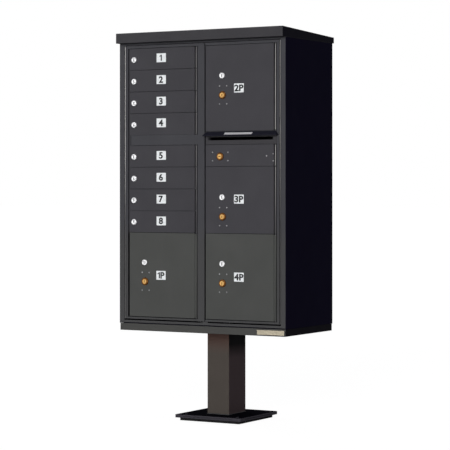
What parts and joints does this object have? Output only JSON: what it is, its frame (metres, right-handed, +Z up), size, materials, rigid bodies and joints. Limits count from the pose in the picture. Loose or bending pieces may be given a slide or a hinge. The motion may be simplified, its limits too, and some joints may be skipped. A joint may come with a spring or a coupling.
{
  "type": "cluster mailbox unit",
  "caption": "Free-standing pedestal mailbox cabinet with rows of small locking doors, large parcel doors, an outgoing-mail slot and two front master doors on bead hinges.",
  "frame": {"origin": "on the ground, below the middle of the hood's rectangle", "axes": "+X to the right seen from the front, +Y from the front to the back, +Z up; the doors face -Y"},
  "size_m": [0.775, 0.44, 1.575],
  "materials": {
    "cabinet_paint": "satin dark bronze-grey powder coat",
    "dark_paint": "satin near-black powder coat",
    "base_paint": "satin near-black powder coat",
    "pad_rubber": "matte black",
    "plate_aluminium": "satin, warm grey, blank",
    "zinc_steel": "zinc plated",
    "lock_chrome": "satin chrome",
    "lock_brass": "satin brass"
  },
  "bodies": {
    "cabinet": {"front_frame": "cabinet_paint", "left_side_panel": "cabinet_paint", "right_side_panel": "cabinet_paint", "rear_panel": "cabinet_paint", "roof_panel": "cabinet_paint", "floor_panel": "cabinet_paint", "hood": "cabinet_paint", "plinth": "cabinet_paint", "name_plate": "plate_aluminium", "centre_divider": "cabinet_paint", "tenant_shelves": "cabinet_paint", "parcel_shelves": "cabinet_paint", "master_hinge_rods": "zinc_steel", "latch_strikes": "zinc_steel", "post_flange": "cabinet_paint", "flange_bolts": "zinc_steel", "post": "cabinet_paint", "base_plate": "base_paint", "base_pad": "pad_rubber"},
    "left_master_door": {"left_master_frame": "cabinet_paint", "left_hinge_rods": "zinc_steel"},
    "right_master_door": {"right_master_frame": "cabinet_paint", "right_hinge_rods": "zinc_steel", "slot_panel": "cabinet_paint", "slot_hood": "dark_paint"},
    "left_latch": {"left_latch_bar": "zinc_steel"},
    "right_latch": {"right_latch_bar": "zinc_steel"},
    "tenant_door_1": {"tenant_door_1": "cabinet_paint"},
    "tenant_door_2": {"tenant_door_2": "cabinet_paint"},
    "tenant_door_3": {"tenant_door_3": "cabinet_paint"},
    "tenant_door_4": {"tenant_door_4": "cabinet_paint"},
    "tenant_door_5": {"tenant_door_5": "cabinet_paint"},
    "tenant_door_6": {"tenant_door_6": "cabinet_paint"},
    "tenant_door_7": {"tenant_door_7": "cabinet_paint"},
    "tenant_door_8": {"tenant_door_8": "cabinet_paint"},
    "parcel_door_1": {"parcel_door_1": "cabinet_paint"},
    "parcel_door_2": {"parcel_door_2": "cabinet_paint"},
    "parcel_door_3": {"parcel_door_3": "cabinet_paint"},
    "parcel_door_4": {"parcel_door_4": "cabinet_paint"},
    "access_door": {"access_door": "cabinet_paint"},
    "access_lock": {"access_lock": "lock_brass"},
    "control_lock_1": {"control_lock_1": "lock_brass"},
    "control_lock_2": {"control_lock_2": "lock_brass"},
    "control_lock_3": {"control_lock_3": "lock_brass"},
    "control_lock_4": {"control_lock_4": "lock_brass"},
    "customer_lock_1": {"customer_lock_1": "lock_chrome"},
    "customer_lock_2": {"customer_lock_2": "lock_chrome"},
    "customer_lock_3": {"customer_lock_3": "lock_chrome"},
    "customer_lock_4": {"customer_lock_4": "lock_chrome"},
    "tenant_lock_1": {"tenant_lock_1": "lock_chrome"},
    "tenant_lock_2": {"tenant_lock_2": "lock_chrome"},
    "tenant_lock_3": {"tenant_lock_3": "lock_chrome"},
    "tenant_lock_4": {"tenant_lock_4": "lock_chrome"},
    "tenant_lock_5": {"tenant_lock_5": "lock_chrome"},
    "tenant_lock_6": {"tenant_lock_6": "lock_chrome"},
    "tenant_lock_7": {"tenant_lock_7": "lock_chrome"},
    "tenant_lock_8": {"tenant_lock_8": "lock_chrome"}
  },
  "joints": [
    {"name": "left_master_hinge", "type": "hinge", "parent": "cabinet", "child": "left_master_door", "pos_m": [-0.3607, -0.1915, 0.967], "axis": [0, 0, -1], "range_deg": [0, 105]},
    {"name": "right_master_hinge", "type": "hinge", "parent": "cabinet", "child": "right_master_door", "pos_m": [0.3607, -0.1915, 0.967], "axis": [0, 0, 1], "range_deg": [0, 105]},
    {"name": "tenant_door_1_hinge", "type": "hinge", "parent": "left_master_door", "child": "tenant_door_1", "pos_m": [-0.0225, -0.1895, 1.4682], "axis": [0, 0, 1], "range_deg": [0, 100]},
    {"name": "tenant_door_2_hinge", "type": "hinge", "parent": "left_master_door", "child": "tenant_door_2", "pos_m": [-0.0225, -0.1895, 1.3798], "axis": [0, 0, 1], "range_deg": [0, 100]},
    {"name": "tenant_door_3_hinge", "type": "hinge", "parent": "left_master_door", "child": "tenant_door_3", "pos_m": [-0.0225, -0.1895, 1.2914], "axis": [0, 0, 1], "range_deg": [0, 100]},
    {"name": "tenant_door_4_hinge", "type": "hinge", "parent": "left_master_door", "child": "tenant_door_4", "pos_m": [-0.0225, -0.1895, 1.203], "axis": [0, 0, 1], "range_deg": [0, 100]},
    {"name": "tenant_door_5_hinge", "type": "hinge", "parent": "left_master_door", "child": "tenant_door_5", "pos_m": [-0.0225, -0.1895, 1.0727], "axis": [0, 0, 1], "range_deg": [0, 100]},
    {"name": "tenant_door_6_hinge", "type": "hinge", "parent": "left_master_door", "child": "tenant_door_6", "pos_m": [-0.0225, -0.1895, 0.9843], "axis": [0, 0, 1], "range_deg": [0, 100]},
    {"name": "tenant_door_7_hinge", "type": "hinge", "parent": "left_master_door", "child": "tenant_door_7", "pos_m": [-0.0225, -0.1895, 0.8959], "axis": [0, 0, 1], "range_deg": [0, 100]},
    {"name": "tenant_door_8_hinge", "type": "hinge", "parent": "left_master_door", "child": "tenant_door_8", "pos_m": [-0.0225, -0.1895, 0.8075], "axis": [0, 0, 1], "range_deg": [0, 100]},
    {"name": "parcel_door_1_hinge", "type": "hinge", "parent": "left_master_door", "child": "parcel_door_1", "pos_m": [-0.0225, -0.1895, 0.5919], "axis": [0, 0, 1], "range_deg": [0, 100]},
    {"name": "parcel_door_2_hinge", "type": "hinge", "parent": "right_master_door", "child": "parcel_door_2", "pos_m": [0.339, -0.1895, 1.341], "axis": [0, 0, 1], "range_deg": [0, 100]},
    {"name": "parcel_door_3_hinge", "type": "hinge", "parent": "right_master_door", "child": "parcel_door_3", "pos_m": [0.339, -0.1895, 0.89615], "axis": [0, 0, 1], "range_deg": [0, 100]},
    {"name": "parcel_door_4_hinge", "type": "hinge", "parent": "right_master_door", "child": "parcel_door_4", "pos_m": [0.339, -0.1895, 0.5919], "axis": [0, 0, 1], "range_deg": [0, 100]},
    {"name": "access_door_hinge", "type": "hinge", "parent": "right_master_door", "child": "access_door", "pos_m": [0.339, -0.1895, 1.0725], "axis": [0, 0, 1], "range_deg": [0, 100]},
    {"name": "left_latch_slide", "type": "slide", "parent": "left_master_door", "child": "left_latch", "axis": [0, 0, 1], "range_m": [-0.01, 0]},
    {"name": "right_latch_slide", "type": "slide", "parent": "right_master_door", "child": "right_latch", "axis": [0, 0, 1], "range_m": [-0.01, 0]},
    {"name": "access_lock_turn", "type": "hinge", "parent": "access_door", "child": "access_lock", "pos_m": [0.09, -0.1915, 1.0693], "axis": [0, 1, 0], "range_deg": [-90, 0]},
    {"name": "control_lock_1_turn", "type": "hinge", "parent": "parcel_door_1", "child": "control_lock_1", "pos_m": [-0.264, -0.1915, 0.5642], "axis": [0, -1, 0], "range_deg": [-90, 0]},
    {"name": "control_lock_2_turn", "type": "hinge", "parent": "parcel_door_2", "child": "control_lock_2", "pos_m": [0.101, -0.1915, 1.3132], "axis": [0, -1, 0], "range_deg": [-90, 0]},
    {"name": "control_lock_3_turn", "type": "hinge", "parent": "parcel_door_3", "child": "control_lock_3", "pos_m": [0.101, -0.1915, 0.8297], "axis": [0, -1, 0], "range_deg": [-90, 0]},
    {"name": "control_lock_4_turn", "type": "hinge", "parent": "parcel_door_4", "child": "control_lock_4", "pos_m": [0.101, -0.1915, 0.5652], "axis": [0, -1, 0], "range_deg": [-90, 0]},
    {"name": "customer_lock_1_turn", "type": "hinge", "parent": "parcel_door_1", "child": "customer_lock_1", "pos_m": [-0.264, -0.1915, 0.6415], "axis": [0, 1, 0], "range_deg": [-90, 0]},
    {"name": "customer_lock_2_turn", "type": "hinge", "parent": "parcel_door_2", "child": "customer_lock_2", "pos_m": [0.101, -0.1915, 1.3905], "axis": [0, 1, 0], "range_deg": [-90, 0]},
    {"name": "customer_lock_3_turn", "type": "hinge", "parent": "parcel_door_3", "child": "customer_lock_3", "pos_m": [0.101, -0.1915, 0.907], "axis": [0, 1, 0], "range_deg": [-90, 0]},
    {"name": "customer_lock_4_turn", "type": "hinge", "parent": "parcel_door_4", "child": "customer_lock_4", "pos_m": [0.101, -0.1915, 0.6425], "axis": [0, 1, 0], "range_deg": [-90, 0]},
    {"name": "tenant_lock_1_turn", "type": "hinge", "parent": "tenant_door_1", "child": "tenant_lock_1", "pos_m": [-0.3148, -0.1915, 1.4662], "axis": [0, 1, 0], "range_deg": [-90, 0]},
    {"name": "tenant_lock_2_turn", "type": "hinge", "parent": "tenant_door_2", "child": "tenant_lock_2", "pos_m": [-0.3148, -0.1915, 1.3778], "axis": [0, 1, 0], "range_deg": [-90, 0]},
    {"name": "tenant_lock_3_turn", "type": "hinge", "parent": "tenant_door_3", "child": "tenant_lock_3", "pos_m": [-0.3148, -0.1915, 1.2894], "axis": [0, 1, 0], "range_deg": [-90, 0]},
    {"name": "tenant_lock_4_turn", "type": "hinge", "parent": "tenant_door_4", "child": "tenant_lock_4", "pos_m": [-0.3148, -0.1915, 1.201], "axis": [0, 1, 0], "range_deg": [-90, 0]},
    {"name": "tenant_lock_5_turn", "type": "hinge", "parent": "tenant_door_5", "child": "tenant_lock_5", "pos_m": [-0.3148, -0.1915, 1.0707], "axis": [0, 1, 0], "range_deg": [-90, 0]},
    {"name": "tenant_lock_6_turn", "type": "hinge", "parent": "tenant_door_6", "child": "tenant_lock_6", "pos_m": [-0.3148, -0.1915, 0.9823], "axis": [0, 1, 0], "range_deg": [-90, 0]},
    {"name": "tenant_lock_7_turn", "type": "hinge", "parent": "tenant_door_7", "child": "tenant_lock_7", "pos_m": [-0.3148, -0.1915, 0.8939], "axis": [0, 1, 0], "range_deg": [-90, 0]},
    {"name": "tenant_lock_8_turn", "type": "hinge", "parent": "tenant_door_8", "child": "tenant_lock_8", "pos_m": [-0.3148, -0.1915, 0.8055], "axis": [0, 1, 0], "range_deg": [-90, 0]}
  ]
}
